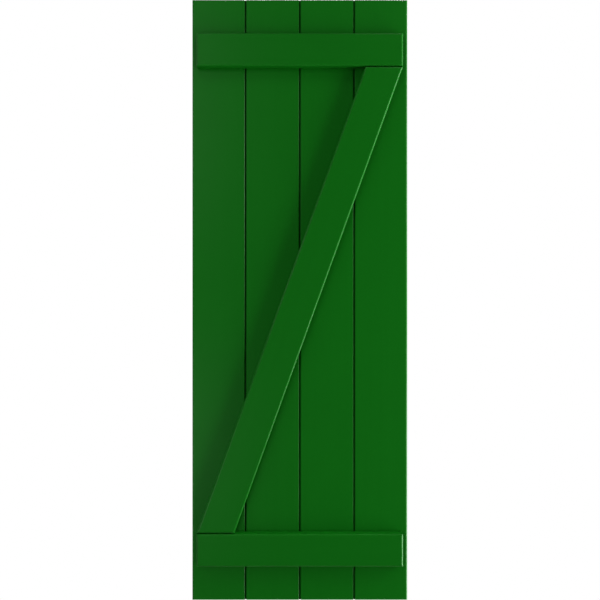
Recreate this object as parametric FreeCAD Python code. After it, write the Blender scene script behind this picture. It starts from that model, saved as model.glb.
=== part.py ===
"""Board and batten shutter: tongue-and-groove boards, two battens and a diagonal brace.

Millimetres. +Z is up, +X is to the right seen from the front, and the front faces -Y.
The backs of the boards lie in the plane y = 0, which goes against the wall, and the
origin is the middle of that back.
"""

import FreeCAD, Part
import math
import os

# Panel of boards
PANEL_WIDTH = 546.1  # 21 1/2 in over the two outer edges
PANEL_HEIGHT = 1524.0  # 60 in, the length of every board
BOARD_COUNT = 4
BOARD_THICKNESS = 19.05  # 3/4 in
BOARD_EDGE_RADIUS = 4.76  # 3/16 in round-over on the panel's outer front edges

# Joint between boards: a tongue on each right edge, a groove in each left edge
REVEAL = 4.76  # 3/16 in shadow gap between the faces of two boards
FACE_LIP = 6.35  # from the face back to the tongue, the depth of the shadow gap
TONGUE_THICKNESS = 6.35
TONGUE_LENGTH = 9.5
TONGUE_NOSE = 1.0  # lead-in chamfer at the tip of the tongue
TONGUE_SIDE_CLEARANCE = 0.2
TONGUE_TIP_CLEARANCE = 0.8
REVEAL_ARRIS = 0.8  # chamfer that eases the two face corners of the shadow gap
BACK_ARRIS = 0.8  # chamfer along the back corners, which meet in a fine V at each joint

# Battens, laid across the face near the top and the bottom
BATTEN_WIDTH = 82.55  # 3 1/4 in
BATTEN_THICKNESS = 19.05
BATTEN_SIDE_INSET = 14.3  # 9/16 in from each outer edge of the panel
BATTEN_END_INSET = 92.85  # from the end of the boards to the batten's outer edge
BATTEN_EDGE_RADIUS = 4.76  # 3/16 in

# Brace, from the lower left corner between the battens to the upper right one
BRACE_WIDTH = 88.9  # 3 1/2 in
BRACE_THICKNESS = 19.05
BRACE_EDGE_RADIUS = 4.76  # 3/16 in
BRACE_END_GAP = 2.0  # left free between each end of the brace and its batten

# Screw holes, countersunk into the backs of the boards, for the screws that hold the face bars
SCREW_HOLE_DIAMETER = 4.5
COUNTERSINK_DIAMETER = 9.0
COUNTERSINK_ANGLE = 90.0  # degrees, the full angle of the cone
SCREW_EDGE_INSET = 30.0  # from the side edges of a board's face
SCREW_STAGGER = 16.0  # up or down from the middle of a batten
BRACE_SCREW_COUNT = 6
BRACE_SCREW_END_INSET = 100.0  # height from the end of the brace to its first screw

# Derived places
FACE_Y = -BOARD_THICKNESS
TONGUE_FRONT_Y = FACE_Y + FACE_LIP
TONGUE_BACK_Y = TONGUE_FRONT_Y + TONGUE_THICKNESS
GROOVE_FRONT_Y = TONGUE_FRONT_Y - TONGUE_SIDE_CLEARANCE
GROOVE_BACK_Y = TONGUE_BACK_Y + TONGUE_SIDE_CLEARANCE
BOARD_FACE_WIDTH = (PANEL_WIDTH - (BOARD_COUNT - 1) * REVEAL) / BOARD_COUNT
BOARD_PITCH = BOARD_FACE_WIDTH + REVEAL
BATTEN_LENGTH = PANEL_WIDTH - 2 * BATTEN_SIDE_INSET
BATTEN_OUTER_Z = PANEL_HEIGHT / 2 - BATTEN_END_INSET
BATTEN_INNER_Z = BATTEN_OUTER_Z - BATTEN_WIDTH
BATTEN_MIDDLE_Z = (BATTEN_OUTER_Z + BATTEN_INNER_Z) / 2
BRACE_END_Z = BATTEN_INNER_Z - BRACE_END_GAP

TOUCH = 1e-4  # two coordinates closer than this are the same place


def prism(corners, direction):
    """Solid swept from a closed polygon of corners along a straight direction."""
    outline = Part.makePolygon(corners + corners[:1])
    return Part.Face(outline).extrude(direction)


def edges_at(solid, **place):
    """Edges whose ends all lie at the given coordinates, such as X=0 or Y=5."""

    def lies_there(edge):
        gaps = [getattr(end, axis) - value for end in edge.Vertexes for axis, value in place.items()]
        return all(abs(gap) < TOUCH for gap in gaps)

    return [edge for edge in solid.Edges if lies_there(edge)]


def tongue_corners(face_edge):
    """Right edge of a board in plan, from the face round the tongue to the back."""
    tip = face_edge + TONGUE_LENGTH
    return [
        (face_edge, FACE_Y),
        (face_edge, TONGUE_FRONT_Y),
        (tip - TONGUE_NOSE, TONGUE_FRONT_Y),
        (tip, TONGUE_FRONT_Y + TONGUE_NOSE),
        (tip, TONGUE_BACK_Y - TONGUE_NOSE),
        (tip - TONGUE_NOSE, TONGUE_BACK_Y),
        (face_edge, TONGUE_BACK_Y),
        (face_edge, 0),
    ]


def groove_corners(face_edge):
    """Left edge of a board in plan, from the back round the groove to the face.

    The back lip reaches across the shadow gap and butts the next board's shoulder.
    """
    back_lip = face_edge - REVEAL
    bottom = back_lip + TONGUE_LENGTH + TONGUE_TIP_CLEARANCE
    return [
        (back_lip, 0),
        (back_lip, GROOVE_BACK_Y),
        (bottom, GROOVE_BACK_Y),
        (bottom, GROOVE_FRONT_Y),
        (face_edge, GROOVE_FRONT_Y),
        (face_edge, FACE_Y),
    ]


def square_corners(edge, start_y, end_y):
    """Outer edge of the panel in plan, square to the faces."""
    return [(edge, start_y), (edge, end_y)]


def face_edges(index):
    """Left and right edge of a board's face, counted from the left."""
    left = -PANEL_WIDTH / 2 + index * BOARD_PITCH
    return left, left + BOARD_FACE_WIDTH


def brace_lean():
    """Angle from upright at which the brace just fits corner to corner between the battens."""
    rise = 2 * BRACE_END_Z
    diagonal = math.hypot(BATTEN_LENGTH, rise)
    return math.acos(BRACE_WIDTH / diagonal) - math.atan2(rise, BATTEN_LENGTH)


def batten_screws(index):
    """Screw places of one board on both battens, staggered across each batten."""
    left, right = face_edges(index)
    columns = ((left + SCREW_EDGE_INSET, SCREW_STAGGER), (right - SCREW_EDGE_INSET, -SCREW_STAGGER))
    return [(x, middle + offset) for middle in (BATTEN_MIDDLE_Z, -BATTEN_MIDDLE_Z) for x, offset in columns]


def brace_screws(index):
    """Screw places of one board along the middle of the brace."""
    left, right = face_edges(index)
    reach = BRACE_END_Z - BRACE_SCREW_END_INSET
    heights = [reach * (2 * step / (BRACE_SCREW_COUNT - 1) - 1) for step in range(BRACE_SCREW_COUNT)]
    places = [(z * math.tan(brace_lean()), z) for z in heights]
    return [(x, z) for x, z in places if left < x < right]


def screw_hole(x, z):
    """Clearance hole through a board with a countersink at the back, as one turned shape."""
    shank = SCREW_HOLE_DIAMETER / 2
    head = COUNTERSINK_DIAMETER / 2
    sink = (head - shank) / math.tan(math.radians(COUNTERSINK_ANGLE / 2))
    profile = [(0, 0), (head, 0), (shank, -sink), (shank, FACE_Y), (0, FACE_Y)]
    corners = [FreeCAD.Vector(x + radius, y, z) for radius, y in profile]
    half_section = Part.Face(Part.makePolygon(corners + corners[:1]))
    return half_section.revolve(corners[0], FreeCAD.Vector(0, 1, 0), 360)


def rounded_end_blank():
    """Block as wide as the panel, with its front edges rounded over at both ends."""
    low = FreeCAD.Vector(-PANEL_WIDTH / 2, FACE_Y, -PANEL_HEIGHT / 2)
    blank = Part.makeBox(PANEL_WIDTH, BOARD_THICKNESS, PANEL_HEIGHT, low)
    ends = [edge for z in (-PANEL_HEIGHT / 2, PANEL_HEIGHT / 2) for edge in edges_at(blank, Y=FACE_Y, Z=z)]
    return blank.makeFillet(BOARD_EDGE_RADIUS, ends)


def board(index):
    """One board of the panel, counted from the left."""
    first = index == 0
    last = index == BOARD_COUNT - 1
    left, right = face_edges(index)
    right_side = square_corners(right, FACE_Y, 0) if last else tongue_corners(right)
    left_side = square_corners(left, 0, FACE_Y) if first else groove_corners(left)
    foot = [FreeCAD.Vector(x, y, -PANEL_HEIGHT / 2) for x, y in right_side + left_side]
    solid = prism(foot, FreeCAD.Vector(0, 0, PANEL_HEIGHT))
    for edge_x, is_outer in ((left, first), (right, last)):
        corner = edges_at(solid, X=edge_x, Y=FACE_Y)
        if is_outer:
            solid = solid.makeFillet(BOARD_EDGE_RADIUS, corner)
        else:
            solid = solid.makeChamfer(REVEAL_ARRIS, corner)
    for edge_x in (left_side[0][0], right):
        solid = solid.makeChamfer(BACK_ARRIS, edges_at(solid, X=edge_x, Y=0))
    holes = [screw_hole(x, z) for x, z in batten_screws(index) + brace_screws(index)]
    return solid.common(rounded_end_blank()).cut(holes).Solids[0]


def face_bar(corners, thickness, edge_radius):
    """Flat bar on the panel's face, its front edges rounded over on every side."""
    outline = [FreeCAD.Vector(x, FACE_Y, z) for x, z in corners]
    bar = prism(outline, FreeCAD.Vector(0, -thickness, 0))
    return bar.makeFillet(edge_radius, edges_at(bar, Y=FACE_Y - thickness))


def batten(bottom_z):
    """Horizontal batten whose lower edge is at the given height."""
    end = BATTEN_LENGTH / 2
    top_z = bottom_z + BATTEN_WIDTH
    corners = [(-end, bottom_z), (end, bottom_z), (end, top_z), (-end, top_z)]
    return face_bar(corners, BATTEN_THICKNESS, BATTEN_EDGE_RADIUS)


def diagonal_brace():
    """Brace with level ends, fitted corner to corner in the space between the battens."""
    level_width = BRACE_WIDTH / math.cos(brace_lean())
    end = BATTEN_LENGTH / 2
    corners = [
        (-end, -BRACE_END_Z),
        (level_width - end, -BRACE_END_Z),
        (end, BRACE_END_Z),
        (end - level_width, BRACE_END_Z),
    ]
    return face_bar(corners, BRACE_THICKNESS, BRACE_EDGE_RADIUS)


def shutter():
    """Every piece of the shutter by name."""
    pieces = {f"board_{index + 1}": board(index) for index in range(BOARD_COUNT)}
    pieces["top_batten"] = batten(BATTEN_INNER_Z)
    pieces["bottom_batten"] = batten(-BATTEN_OUTER_Z)
    pieces["diagonal_brace"] = diagonal_brace()
    return pieces


os.makedirs("parts", exist_ok=True)
for name, solid in shutter().items():
    solid.exportStep(f"parts/{name}.step")
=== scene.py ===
"""Looks of a painted board and batten shutter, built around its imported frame.

The frame's boards, battens and brace keep their shapes and are dressed in satin paint,
each piece with its own lay of the coat. The screws that hold the face bars from behind
are modelled here, in the countersunk holes of the boards. Metres, +Z up, front along -Y.
"""

import logging
import math
from collections.abc import Callable
from dataclasses import dataclass, field
from enum import Enum
from typing import Any

import bpy
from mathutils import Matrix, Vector

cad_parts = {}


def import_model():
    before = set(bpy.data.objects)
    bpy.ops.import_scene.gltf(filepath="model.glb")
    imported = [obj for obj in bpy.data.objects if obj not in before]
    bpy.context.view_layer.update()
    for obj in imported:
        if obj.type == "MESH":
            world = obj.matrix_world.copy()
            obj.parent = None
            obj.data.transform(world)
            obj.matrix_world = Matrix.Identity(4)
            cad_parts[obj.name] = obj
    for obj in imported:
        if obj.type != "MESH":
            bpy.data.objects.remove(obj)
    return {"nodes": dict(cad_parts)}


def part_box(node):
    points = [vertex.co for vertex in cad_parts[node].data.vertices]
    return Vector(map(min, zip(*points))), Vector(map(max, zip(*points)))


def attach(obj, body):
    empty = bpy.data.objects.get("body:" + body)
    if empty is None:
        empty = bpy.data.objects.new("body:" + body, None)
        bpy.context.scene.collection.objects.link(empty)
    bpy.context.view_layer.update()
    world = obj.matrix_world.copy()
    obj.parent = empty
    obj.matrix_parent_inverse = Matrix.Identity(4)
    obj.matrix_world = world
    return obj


Tree = bpy.types.NodeTree
Socket = bpy.types.NodeSocket

LOG = logging.getLogger("shutter")
MM = 0.001
BODY = "root"
IMAGE_PIXELS = 600
WHITE = "#FFFFFF"

# Places closer than this are the same, in metres
TOUCH = 1e-6
# Least share of a face's normal along an axis that it faces
FACING = 0.9
# Most values of a noise lie between these
NOISE_LOW = 0.25
NOISE_HIGH = 0.75
# Share of a direction that points behind the shutter, where a mirror starts to show the white
# studio and where it shows it fully
MIRROR_START = 0.3
MIRROR_FULL = 0.7


class Lay(Enum):
    """Direction of a piece's length, along which its stock was milled and its coat was sprayed."""

    UPRIGHT = "upright"
    LEVEL = "level"
    LEANING = "leaning"


class Element(Enum):
    """Kind of mesh element that an edit picks."""

    VERTEX = "VERT"
    EDGE = "EDGE"
    FACE = "FACE"


def linear(colour: str) -> tuple[float, float, float, float]:
    """Turns an sRGB hex colour into linear light, by the standard's own curve.

    Args:
        colour: Six hex digits, with or without a leading hash.

    Returns:
        Red, green, blue and a full alpha.
    """
    digits = colour.lstrip("#")
    shares = [int(digits[at : at + 2], 16) / 255 for at in (0, 2, 4)]
    light = [s / 12.92 if s <= 0.04045 else ((s + 0.055) / 1.055) ** 2.4 for s in shares]
    return (*light, 1.0)


def add_node(
    tree: Tree,
    kind: str,
    settings: dict[str, Any] | None = None,
    inputs: dict[str | int, Any] | None = None,
) -> bpy.types.Node:
    """Adds one node with its settings, constants and links.

    Args:
        tree: Node tree that gets the node.
        kind: Blender's type name of the node.
        settings: Properties of the node itself.
        inputs: Input sockets by name or number, each a constant or the socket it is linked from.

    Returns:
        The new node.
    """
    node = tree.nodes.new(kind)
    for name, value in (settings or {}).items():
        setattr(node, name, value)
    for name, value in (inputs or {}).items():
        if isinstance(value, Socket):
            tree.links.new(value, node.inputs[name])
        else:
            node.inputs[name].default_value = value
    return node


def empty_material(name: str) -> tuple[bpy.types.Material, Tree]:
    """Makes a node material with nothing in it yet.

    Args:
        name: Name of the material.

    Returns:
        The material and its cleared node tree.
    """
    material = bpy.data.materials.new(name)
    material.use_nodes = True
    material.node_tree.nodes.clear()
    return material, material.node_tree


def lumps(
    tree: Tree, place: Socket, widths_mm: tuple[float, float, float], seed: float, detail: float
) -> Socket:
    """Adds a noise whose lumps have real widths.

    Args:
        tree: Tree that gets the nodes.
        place: Coordinates in metres.
        widths_mm: Size of a lump along each axis.
        seed: Fourth coordinate, which picks the pattern.
        detail: Octaves of finer lumps.

    Returns:
        The noise's value, from 0 to 1.
    """
    scale = tuple(1 / (width * MM) for width in widths_mm)
    scaled = add_node(tree, "ShaderNodeMapping", None, {"Vector": place, "Scale": scale})
    noise = add_node(
        tree,
        "ShaderNodeTexNoise",
        {"noise_dimensions": "4D"},
        {"Vector": scaled.outputs["Vector"], "W": seed, "Scale": 1.0, "Detail": detail},
    )
    return noise.outputs["Fac"]


def spread(tree: Tree, noise: Socket, middle: float, depth: float) -> Socket:
    """Spreads a number by a noise, as far below its middle as above.

    Args:
        tree: Tree that gets the node.
        noise: Noise from 0 to 1.
        middle: Number that the noise changes.
        depth: Share of the middle by which it changes from end to end.

    Returns:
        The changed number.
    """
    swing = add_node(
        tree,
        "ShaderNodeMapRange",
        None,
        {
            "Value": noise,
            "From Min": NOISE_LOW,
            "From Max": NOISE_HIGH,
            "To Min": middle * (1 - depth / 2),
            "To Max": middle * (1 + depth / 2),
        },
    )
    return swing.outputs["Result"]


def white_rays(tree: Tree, place: Socket) -> Socket:
    """Adds a mask of the rays that see the white studio instead of the light in it.

    The camera sees it straight, through glass or mirrored, and a mirror only shows what
    stands behind the shutter, so that the paint's face keeps its depth.

    Args:
        tree: Tree that gets the nodes.
        place: Place on the floor, or direction to the surround, from the shutter.

    Returns:
        The mask.
    """
    path = add_node(tree, "ShaderNodeLightPath").outputs
    way = add_node(tree, "ShaderNodeVectorMath", {"operation": "NORMALIZE"}, {0: place})
    depth = add_node(tree, "ShaderNodeSeparateXYZ", None, {"Vector": way.outputs["Vector"]})
    behind = add_node(
        tree,
        "ShaderNodeMapRange",
        None,
        {"Value": depth.outputs["Y"], "From Min": MIRROR_START, "From Max": MIRROR_FULL},
    )
    mirrored = add_node(
        tree,
        "ShaderNodeMath",
        {"operation": "MULTIPLY"},
        {0: path["Is Glossy Ray"], 1: behind.outputs["Result"]},
    )
    seen = path["Is Camera Ray"]
    for ray in (path["Is Transmission Ray"], mirrored.outputs["Value"]):
        either = add_node(tree, "ShaderNodeMath", {"operation": "MAXIMUM"}, {0: seen, 1: ray})
        seen = either.outputs["Value"]
    return seen


def deselect() -> None:
    """Leaves edit mode and deselects every object."""
    if bpy.context.object and bpy.context.object.mode != "OBJECT":
        bpy.ops.object.mode_set(mode="OBJECT")
    bpy.ops.object.select_all(action="DESELECT")


def pick(piece: bpy.types.Object, element: Element, test: Callable[[Vector, Vector], bool]) -> None:
    """Selects some of a piece's elements, ready for the next edit operator.

    Args:
        piece: The active mesh object, with its origin at the world's.
        element: Kind of element to select.
        test: Says yes to an element by its middle and its normal, which an edge doesn't have.
    """
    bpy.ops.object.mode_set(mode="EDIT")
    bpy.ops.mesh.select_mode(type=element.value)
    bpy.ops.mesh.select_all(action="DESELECT")
    bpy.ops.object.mode_set(mode="OBJECT")
    mesh = piece.data
    if element is Element.FACE:
        for face in mesh.polygons:
            face.select = test(face.center, face.normal)
    elif element is Element.EDGE:
        for edge in mesh.edges:
            ends = [mesh.vertices[number].co for number in edge.vertices]
            edge.select = test((ends[0] + ends[1]) / 2, Vector())
    else:
        for vertex in mesh.vertices:
            vertex.select = test(vertex.co, vertex.normal)
    bpy.ops.object.mode_set(mode="EDIT")


def dress_piece(piece: bpy.types.Object, material: bpy.types.Material) -> None:
    """Gives a piece its one material.

    Args:
        piece: A node of the frame or a piece modelled here.
        material: Finish of the whole piece.
    """
    piece.data.materials.clear()
    piece.data.materials.append(material)
    LOG.info("dressed %s in %s", piece.name, material.name)


# To the eye a deep saturated green with a soft sheen along rounded edges, a fine orange peel and
# faint streaks along each piece, and duller on sawn ends, where open cells show through the film
@dataclass(frozen=True)
class SatinPaint:
    """Satin exterior enamel, sprayed on smooth cellular PVC boards.

    It is a closed, even film with no grain under it. The spray's stipple and the cells of the
    sawn ends are drawn coarser than real, so that they show in the picture.
    """

    colour: str = "#07540A"
    roughness: float = 0.36
    ior: float = 1.5
    specular: float = 0.1
    cloud_mm: float = 160.0
    cloud_depth: float = 0.05
    cloud_detail: float = 2.0
    streak_width_mm: float = 9.0
    streak_length_mm: float = 700.0
    streak_depth: float = 0.035
    streak_detail: float = 3.0
    sheen_depth: float = 0.08
    peel_mm: float = 5.0
    peel_height_mm: float = 0.012
    stipple_mm: float = 1.4
    stipple_height_mm: float = 0.006
    cell_mm: float = 0.9
    cell_height_mm: float = 0.05
    relief_detail: float = 1.0
    sawn_roughness: float = 0.58
    sawn_facing: tuple[float, float] = (0.85, 0.98)

    def material(self, name: str, lay: Lay, lean: float, seed: float) -> bpy.types.Material:
        """Makes the coat of one piece.

        Args:
            name: Name of the material.
            lay: Direction of the piece's length.
            lean: Angle of a leaning piece from upright, in radians.
            seed: Number that sets this piece's own pattern.

        Returns:
            The material.
        """
        material, tree = empty_material(name)
        place = add_node(tree, "ShaderNodeTexCoord").outputs["Object"]
        turn = {Lay.UPRIGHT: 0.0, Lay.LEVEL: math.pi / 2, Lay.LEANING: lean}[lay]
        turned = {"Vector": place, "Rotation": (0, -turn, 0)}
        along = add_node(tree, "ShaderNodeMapping", None, turned).outputs["Vector"]
        cloud = lumps(tree, along, (self.cloud_mm,) * 3, seed, self.cloud_detail)
        widths = (self.streak_width_mm, self.streak_width_mm, self.streak_length_mm)
        streak = lumps(tree, along, widths, seed, self.streak_detail)
        sawn = self._sawn(tree, lay)
        coat = add_node(
            tree,
            "ShaderNodeBsdfPrincipled",
            None,
            {
                "Base Color": self._tone(tree, cloud, streak),
                "Roughness": self._sheen(tree, streak, sawn),
                "IOR": self.ior,
                "Specular IOR Level": self.specular,
                "Normal": self._relief(tree, place, sawn, seed),
            },
        )
        add_node(tree, "ShaderNodeOutputMaterial", None, {"Surface": coat.outputs["BSDF"]})
        return material

    def _sawn(self, tree: Tree, lay: Lay) -> Socket:
        """Finds the sawn ends, which face along X on a level piece and along Z on the others.

        Args:
            tree: Tree that gets the nodes.
            lay: Direction of the piece's length.

        Returns:
            A mask, 1 on a sawn end.
        """
        normal = add_node(tree, "ShaderNodeNewGeometry").outputs["Normal"]
        sides = add_node(tree, "ShaderNodeSeparateXYZ", None, {"Vector": normal})
        facing = sides.outputs["X" if lay is Lay.LEVEL else "Z"]
        share = add_node(tree, "ShaderNodeMath", {"operation": "ABSOLUTE"}, {0: facing})
        start, full = self.sawn_facing
        mask = add_node(
            tree,
            "ShaderNodeMapRange",
            None,
            {"Value": share.outputs["Value"], "From Min": start, "From Max": full},
        )
        return mask.outputs["Result"]

    def _tone(self, tree: Tree, cloud: Socket, streak: Socket) -> Socket:
        """Varies the paint's colour a little from place to place.

        Args:
            tree: Tree that gets the nodes.
            cloud: Broad lumps in the coat.
            streak: Narrow streaks along the piece.

        Returns:
            The colour.
        """
        shades = {
            0: spread(tree, cloud, 1.0, self.cloud_depth),
            1: spread(tree, streak, 1.0, self.streak_depth),
        }
        shade = add_node(tree, "ShaderNodeMath", {"operation": "MULTIPLY"}, shades)
        paint = add_node(
            tree,
            "ShaderNodeMix",
            {"data_type": "RGBA", "blend_type": "MULTIPLY"},
            {"Factor": 1.0, "A": linear(self.colour), "B": shade.outputs["Value"]},
        )
        return paint.outputs["Result"]

    def _sheen(self, tree: Tree, streak: Socket, sawn: Socket) -> Socket:
        """Varies the roughness along the streaks, and dulls the sawn ends.

        Args:
            tree: Tree that gets the nodes.
            streak: Narrow streaks along the piece.
            sawn: Mask of the sawn ends.

        Returns:
            The roughness.
        """
        smooth = spread(tree, streak, self.roughness, self.sheen_depth)
        sheen = add_node(
            tree,
            "ShaderNodeMix",
            {"data_type": "FLOAT"},
            {"Factor": sawn, "A": smooth, "B": self.sawn_roughness},
        )
        return sheen.outputs["Result"]

    def _relief(self, tree: Tree, place: Socket, sawn: Socket, seed: float) -> Socket:
        """Adds the orange peel, the spray's stipple and the cells of the sawn ends.

        Args:
            tree: Tree that gets the nodes.
            place: Coordinates in metres.
            sawn: Mask of the sawn ends.
            seed: Number that sets this piece's own pattern.

        Returns:
            The normal.
        """
        layers = (
            (self.peel_mm, self.peel_height_mm, 1.0),
            (self.stipple_mm, self.stipple_height_mm, 1.0),
            (self.cell_mm, self.cell_height_mm, sawn),
        )
        normal = None
        for width, height, strength in layers:
            inputs = {
                "Height": lumps(tree, place, (width,) * 3, seed, self.relief_detail),
                "Strength": strength,
                "Distance": height * MM,
            }
            if normal:
                inputs["Normal"] = normal
            normal = add_node(tree, "ShaderNodeBump", None, inputs).outputs["Normal"]
        return normal


# To the eye a cool grey metal with a soft, slightly cloudy reflection and fine tumbling marks
@dataclass(frozen=True)
class StainlessSteel:
    """Stainless steel of a cold-formed screw, tumbled bright.

    The tumbling marks are drawn coarser than real, so that they show in the picture.
    """

    colour: str = "#B4B5B7"
    roughness: float = 0.3
    cloud_mm: float = 3.0
    cloud_depth: float = 0.3
    cloud_seed: float = 0.0
    mark_mm: float = 0.35
    mark_height_mm: float = 0.004
    mark_seed: float = 1.0
    detail: float = 2.0

    def material(self, name: str) -> bpy.types.Material:
        """Makes the metal.

        Args:
            name: Name of the material.

        Returns:
            The material.
        """
        material, tree = empty_material(name)
        place = add_node(tree, "ShaderNodeTexCoord").outputs["Object"]
        cloud = lumps(tree, place, (self.cloud_mm,) * 3, self.cloud_seed, self.detail)
        marks = lumps(tree, place, (self.mark_mm,) * 3, self.mark_seed, self.detail)
        relief = add_node(
            tree,
            "ShaderNodeBump",
            None,
            {"Height": marks, "Strength": 1.0, "Distance": self.mark_height_mm * MM},
        )
        metal = add_node(
            tree,
            "ShaderNodeBsdfPrincipled",
            None,
            {
                "Base Color": linear(self.colour),
                "Metallic": 1.0,
                "Roughness": spread(tree, cloud, self.roughness, self.cloud_depth),
                "Normal": relief.outputs["Normal"],
            },
        )
        add_node(tree, "ShaderNodeOutputMaterial", None, {"Surface": metal.outputs["BSDF"]})
        return material


# To the eye a plain pale ground with soft shadows, nearly as white as the surround
@dataclass(frozen=True)
class FloorPaint:
    """Matt pale paint of the studio floor."""

    colour: str = "#D6D4D0"
    lift: float = 0.8

    def material(self, name: str) -> bpy.types.Material:
        """Makes the floor's paint.

        Args:
            name: Name of the material.

        Returns:
            The material.
        """
        material, tree = empty_material(name)
        paint = add_node(tree, "ShaderNodeBsdfDiffuse", None, {"Color": linear(self.colour)})
        seen = white_rays(tree, add_node(tree, "ShaderNodeTexCoord").outputs["Object"])
        lift = add_node(tree, "ShaderNodeMath", {"operation": "MULTIPLY"}, {0: seen, 1: self.lift})
        glow = add_node(tree, "ShaderNodeEmission", None, {"Strength": lift.outputs["Value"]})
        layers = {0: paint.outputs["BSDF"], 1: glow.outputs["Emission"]}
        both = add_node(tree, "ShaderNodeAddShader", None, layers)
        add_node(tree, "ShaderNodeOutputMaterial", None, {"Surface": both.outputs["Shader"]})
        return material


@dataclass
class BoardPanel:
    """The four upright boards, joined edge to edge by tongue and groove.

    The reveal between two faces and the length of a tongue are the solids' own.
    """

    nodes: dict[str, bpy.types.Object]
    names: tuple[str, ...] = ("board_1", "board_2", "board_3", "board_4")
    reveal_mm: float = 4.76
    tongue_mm: float = 9.5

    def face_y(self) -> float:
        """Returns the depth at which the boards' faces lie, in metres."""
        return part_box(self.names[0])[0].y

    def face_edges(self, name: str) -> tuple[float, float]:
        """Finds the side edges of a board's face.

        Args:
            name: Name of the board's node.

        Returns:
            Left and right edge in metres, without the back lip and the tongue.
        """
        low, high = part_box(name)
        lip = 0.0 if name == self.names[0] else self.reveal_mm * MM
        tongue = 0.0 if name == self.names[-1] else self.tongue_mm * MM
        return low.x + lip, high.x - tongue

    def dress(self, paint: SatinPaint) -> None:
        """Paints each board with a pattern of its own.

        Args:
            paint: Paint of the whole shutter.
        """
        for number, name in enumerate(self.names):
            coat = paint.material(f"{name}_enamel", Lay.UPRIGHT, 0.0, float(number))
            dress_piece(self.nodes[name], coat)


@dataclass
class FaceBars:
    """The two level battens and the leaning brace on the panel's face."""

    nodes: dict[str, bpy.types.Object]
    battens: tuple[str, str] = ("top_batten", "bottom_batten")
    brace: str = "diagonal_brace"
    brace_width_mm: float = 88.9
    first_seed: float = 10.0

    def lean(self) -> float:
        """Works out the brace's lean, at which its width just fits corner to corner in its box.

        Returns:
            Angle from upright, in radians.
        """
        low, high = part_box(self.brace)
        length = high.x - low.x
        rise = high.z - low.z
        diagonal = math.hypot(length, rise)
        return math.acos(self.brace_width_mm * MM / diagonal) - math.atan2(rise, length)

    def dress(self, paint: SatinPaint) -> None:
        """Paints each bar along its own length.

        Args:
            paint: Paint of the whole shutter.
        """
        lays = {name: Lay.LEVEL for name in self.battens} | {self.brace: Lay.LEANING}
        for number, (name, lay) in enumerate(lays.items()):
            coat = paint.material(f"{name}_enamel", lay, self.lean(), self.first_seed + number)
            dress_piece(self.nodes[name], coat)


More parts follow.
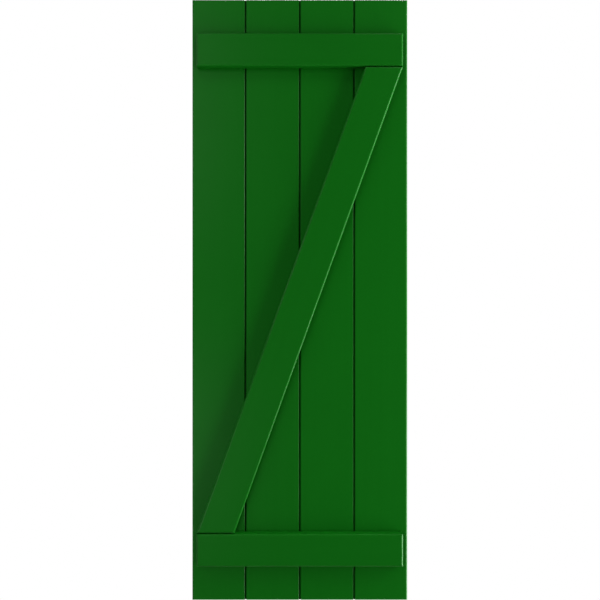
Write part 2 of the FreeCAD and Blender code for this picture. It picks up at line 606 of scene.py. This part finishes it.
@dataclass
class BackScrews:
    """Countersunk screws with a six-lobed drive, driven through the boards' backs into the bars.

    The insets, the stagger and the count on the brace are those of the holes in the solids.
    """

    panel: BoardPanel
    bars: FaceBars
    edge_inset_mm: float = 30.0
    stagger_mm: float = 16.0
    brace_count: int = 6
    brace_end_inset_mm: float = 100.0
    head_diameter_mm: float = 8.1
    rim_mm: float = 0.3
    rim_round_mm: float = 0.12
    rim_segments: int = 2
    shank_diameter_mm: float = 4.0
    length_mm: float = 32.0
    point_mm: float = 5.0
    point_taper: float = 0.1
    sunk_mm: float = 0.12
    drive_diameter_mm: float = 4.6
    drive_depth_mm: float = 1.6
    drive_taper: float = 0.9
    lobes: int = 6
    lobe_profile: tuple[float, ...] = (1.0, 0.94, 0.8, 0.72, 0.8, 0.94)
    smooth_degrees: float = 30.0
    turn_step: float = 2.4
    pieces: list[bpy.types.Object] = field(default_factory=list)

    @property
    def head(self) -> float:
        """Radius of the head in metres."""
        return self.head_diameter_mm * MM / 2

    @property
    def drive(self) -> float:
        """Radius of the drive over its lobes in metres."""
        return self.drive_diameter_mm * MM / 2

    @property
    def between(self) -> float:
        """Radius in metres halfway from the drive to the edge of the head."""
        return (self.head + self.drive) / 2

    @property
    def sides(self) -> int:
        """Number of corners round the screw."""
        return self.lobes * len(self.lobe_profile)

    def batten_places(self, batten: str) -> list[tuple[float, float]]:
        """Finds the screws of one batten, two through each board, staggered up and down.

        Args:
            batten: Name of the batten's node.

        Returns:
            X and Z of each screw in metres.
        """
        low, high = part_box(batten)
        middle = (low.z + high.z) / 2
        places = []
        for name in self.panel.names:
            left, right = self.panel.face_edges(name)
            places.append((left + self.edge_inset_mm * MM, middle + self.stagger_mm * MM))
            places.append((right - self.edge_inset_mm * MM, middle - self.stagger_mm * MM))
        return places

    def brace_places(self) -> list[tuple[float, float]]:
        """Finds the screws along the middle of the brace.

        Returns:
            X and Z of each screw in metres.
        """
        low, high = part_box(self.bars.brace)
        reach = (high.z - low.z) / 2 - self.brace_end_inset_mm * MM
        slope = math.tan(self.bars.lean())
        last = self.brace_count - 1
        heights = [reach * (2 * step / last - 1) for step in range(self.brace_count)]
        return [(height * slope, height) for height in heights]

    def model(self) -> bpy.types.Object:
        """Models one screw with its head's top at the origin, pointing into the wood along -Y.

        Returns:
            The screw.
        """
        deselect()
        shank = self.shank_diameter_mm * MM / 2
        rim = self.rim_mm * MM
        cone = self.head - shank
        point = self.point_mm * MM
        straight = self.length_mm * MM - rim - cone - point
        bpy.ops.mesh.primitive_cylinder_add(
            vertices=self.sides, radius=self.head, depth=rim, location=(0, 0, -rim / 2)
        )
        screw = bpy.context.active_object
        bpy.ops.object.transform_apply(location=True, rotation=False, scale=False)
        pick(screw, Element.FACE, lambda middle, normal: normal.z < -FACING)
        for step, taper in ((cone, shank / self.head), (straight, 1.0), (point, self.point_taper)):
            self._extrude_down(step, taper)
        self._cut_drive(screw)
        pick(screw, Element.EDGE, self._on_rim)
        rounding = self.rim_round_mm * MM
        bpy.ops.mesh.bevel(offset=rounding, segments=self.rim_segments, affect="EDGES")
        bpy.ops.mesh.select_all(action="SELECT")
        bpy.ops.mesh.normals_make_consistent(inside=False)
        bpy.ops.object.mode_set(mode="OBJECT")
        bpy.ops.object.shade_smooth_by_angle(angle=math.radians(self.smooth_degrees))
        screw.rotation_euler = (-math.pi / 2, 0, 0)
        bpy.ops.object.transform_apply(location=False, rotation=True, scale=False)
        return screw

    def _cut_drive(self, screw: bpy.types.Object) -> None:
        """Sinks the six-lobed drive into the head.

        Args:
            screw: The screw, its axis still along Z.
        """
        pick(screw, Element.FACE, lambda middle, normal: normal.z > FACING)
        bpy.ops.mesh.inset(thickness=self.head - self.drive, depth=0)
        for corner, share in enumerate(self.lobe_profile):
            self._draw_in_lobes(screw, corner, share)
        pick(screw, Element.FACE, self._in_drive)
        self._extrude_down(self.drive_depth_mm * MM, self.drive_taper)

    def _extrude_down(self, step: float, taper: float) -> None:
        """Extrudes the selected faces down the screw and scales their new ends to its axis."""
        bpy.ops.mesh.extrude_region_move(TRANSFORM_OT_translate={"value": (0, 0, -step)})
        bpy.ops.transform.resize(value=(taper, taper, 1), center_override=(0, 0, 0))

    def _draw_in_lobes(self, screw: bpy.types.Object, corner: int, share: float) -> None:
        """Draws one corner of every lobe in, to a share of its distance from the screw's axis."""
        pick(screw, Element.VERTEX, lambda spot, normal: self._lobe_corner(spot) == corner)
        bpy.ops.transform.resize(value=(share, share, 1), center_override=(0, 0, 0))

    def _lobe_corner(self, spot: Vector) -> int | None:
        """Finds which corner of a lobe a vertex is.

        Args:
            spot: The vertex, on a screw whose axis is still along Z.

        Returns:
            Number of the corner in the lobes' profile, or None for a vertex outside the drive.
        """
        if abs(spot.z) > TOUCH or spot.xy.length > self.between:
            return None
        step = round(math.atan2(spot.y, spot.x) / math.tau * self.sides)
        return step % len(self.lobe_profile)

    def _in_drive(self, middle: Vector, normal: Vector) -> bool:
        """Says whether a face is the one inside the lobes, on the top of the head."""
        return normal.z > FACING and middle.xy.length < self.drive

    def _on_rim(self, middle: Vector, normal: Vector) -> bool:
        """Says whether an edge runs round the top of the head's rim."""
        return abs(middle.z) < TOUCH and middle.xy.length > self.head - self.rim_mm * MM

    def build(self) -> None:
        """Models one screw and sets copies of it into every hole, one piece for each bar."""
        screw = self.model()
        for batten in self.bars.battens:
            self._set_row(screw, f"{batten}_screws", self.batten_places(batten))
        self._set_row(screw, "brace_screws", self.brace_places())
        bpy.data.objects.remove(screw)

    def _set_row(
        self, screw: bpy.types.Object, name: str, places: list[tuple[float, float]]
    ) -> None:
        """Copies the screw to each place and joins the copies.

        Args:
            screw: The screw to copy.
            name: Name of the joined piece.
            places: X and Z of each screw in metres.
        """
        deselect()
        for number, (x, z) in enumerate(places):
            copy = screw.copy()
            copy.data = screw.data.copy()
            copy.location = (x, -self.sunk_mm * MM, z)
            copy.rotation_euler = (0, number * self.turn_step, 0)
            bpy.context.scene.collection.objects.link(copy)
            copy.select_set(True)
            bpy.context.view_layer.objects.active = copy
        bpy.ops.object.join()
        row = bpy.context.active_object
        bpy.ops.object.transform_apply(location=True, rotation=True, scale=True)
        row.name = name
        row.data.name = name
        self.pieces.append(row)
        LOG.info("set %d screws in %s", len(places), name)

    def dress(self, steel: StainlessSteel) -> None:
        """Gives the screws their metal and lets them ride with the shutter.

        Args:
            steel: Metal of every screw.
        """
        metal = steel.material("tumbled_stainless_steel")
        for piece in self.pieces:
            dress_piece(piece, metal)
            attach(piece, BODY)


@dataclass(frozen=True)
class SoftLamp:
    """One soft box of the studio, aimed at the middle of the shutter.

    It stands at an azimuth in degrees, 0 in front and positive to the right, at a distance
    from the shutter's upright axis and at a height above its middle, in metres.
    """

    name: str
    azimuth: float
    height: float
    watts: float
    distance: float = 2.2
    size: float = 0.8

    def build(self) -> None:
        """Sets up the lamp."""
        deselect()
        turn = math.radians(self.azimuth)
        forward = math.cos(turn) * self.distance
        place = Vector((math.sin(turn) * self.distance, -forward, self.height))
        bpy.ops.object.light_add(type="AREA", location=place)
        lamp = bpy.context.active_object
        lamp.name = self.name
        lamp.rotation_euler = (-place).to_track_quat("-Z", "Y").to_euler()
        lamp.data.shape = "SQUARE"
        lamp.data.size = self.size
        lamp.data.energy = self.watts
        lamp.visible_camera = False


# The strong boxes on the right draw the bright line along edges that face right. The weak ones on
# the left and in front only open the shadows, and the box behind lights the back and the screws.
LAMPS = (
    SoftLamp("right_box_top", 80.0, 0.8, 58.0),
    SoftLamp("right_box_middle", 75.0, 0.0, 25.0),
    SoftLamp("right_box_low", 68.0, -0.8, 24.0),
    SoftLamp("right_box_foot", 75.0, -1.6, 27.0),
    SoftLamp("right_rim_low", 95.0, -0.8, 58.0),
    SoftLamp("right_rim_foot", 95.0, -1.6, 38.0),
    SoftLamp("left_box_high", -70.0, 0.8, 10.0),
    SoftLamp("left_box_low", -50.0, -0.8, 9.5),
    SoftLamp("front_fill_top", -30.0, 1.6, 6.5),
    SoftLamp("front_fill_high", -30.0, 0.8, 6.5),
    SoftLamp("front_fill_low", -30.0, -0.8, 9.5),
    SoftLamp("ceiling_box_left", -45.0, 2.4, 10.0, distance=1.3),
    SoftLamp("ceiling_box_right", 45.0, 2.4, 15.0, distance=1.3),
    SoftLamp("back_box_top", 170.0, 2.6, 145.0, distance=2.6, size=1.6),
)


@dataclass
class Studio:
    """Pale floor, white surround, soft lamps and the camera of the photograph's view."""

    face_y: float
    lamps: tuple[SoftLamp, ...] = LAMPS
    face_distance: float = 1.51
    pixel_mm: float = 2.535
    camera_right_mm: float = 0.4
    camera_up_mm: float = -0.2
    sensor_mm: float = 36.0
    floor_height: float = -3.0
    floor_width: float = 5.6
    floor_corner: float = 2.6
    floor_corner_segments: int = 16
    ambient: float = 0.05
    white_strength: float = 1.0

    def build(self) -> None:
        """Sets up the whole studio."""
        for lamp in self.lamps:
            lamp.build()
        self._build_floor(FloorPaint())
        self._build_surround()
        self._build_camera()
        bpy.context.scene.view_settings.view_transform = "Standard"
        LOG.info("lit the studio with %d lamps", len(self.lamps))

    def _build_floor(self, paint: FloorPaint) -> None:
        """Lays a pale floor with rounded corners, well below the hanging shutter.

        Args:
            paint: Paint of the floor.
        """
        deselect()
        bpy.ops.mesh.primitive_plane_add(size=self.floor_width, location=(0, 0, self.floor_height))
        floor = bpy.context.active_object
        floor.name = "studio_floor"
        bpy.ops.object.transform_apply(location=True, rotation=False, scale=False)
        bpy.ops.object.mode_set(mode="EDIT")
        bpy.ops.mesh.bevel(
            offset=self.floor_corner, segments=self.floor_corner_segments, affect="VERTICES"
        )
        bpy.ops.object.mode_set(mode="OBJECT")
        floor.data.materials.append(paint.material("pale_studio_floor"))

    def _build_surround(self) -> None:
        """Makes the surround white to the camera and nearly dark to the shutter."""
        world = bpy.data.worlds.new("studio_surround")
        bpy.context.scene.world = world
        world.use_nodes = True
        tree = world.node_tree
        tree.nodes.clear()
        seen = white_rays(tree, add_node(tree, "ShaderNodeTexCoord").outputs["Generated"])
        strength = add_node(
            tree,
            "ShaderNodeMapRange",
            None,
            {"Value": seen, "To Min": self.ambient, "To Max": self.white_strength},
        )
        surround = add_node(
            tree,
            "ShaderNodeBackground",
            None,
            {"Color": linear(WHITE), "Strength": strength.outputs["Result"]},
        )
        add_node(tree, "ShaderNodeOutputWorld", None, {"Surface": surround.outputs["Background"]})

    def _build_camera(self) -> None:
        """Stands the camera square in front of the shutter, within a hair of its middle."""
        deselect()
        depth = self.face_y - self.face_distance
        place = (self.camera_right_mm * MM, depth, self.camera_up_mm * MM)
        bpy.ops.object.camera_add(location=place, rotation=(math.pi / 2, 0, 0))
        camera = bpy.context.active_object
        camera.name = "camera"
        camera.data.sensor_width = self.sensor_mm
        picture_width = IMAGE_PIXELS * self.pixel_mm * MM
        camera.data.lens = self.sensor_mm * self.face_distance / picture_width
        bpy.context.scene.camera = camera


def main() -> None:
    """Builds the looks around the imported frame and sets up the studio."""
    logging.basicConfig(level=logging.INFO, format="%(name)s: %(message)s")
    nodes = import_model()["nodes"]
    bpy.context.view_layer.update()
    paint = SatinPaint()
    panel = BoardPanel(nodes)
    panel.dress(paint)
    bars = FaceBars(nodes)
    bars.dress(paint)
    screws = BackScrews(panel, bars)
    screws.build()
    screws.dress(StainlessSteel())
    Studio(panel.face_y()).build()
    LOG.info("built %d screw rows on %d nodes", len(screws.pieces), len(nodes))


if __name__ == "__main__":
    main()
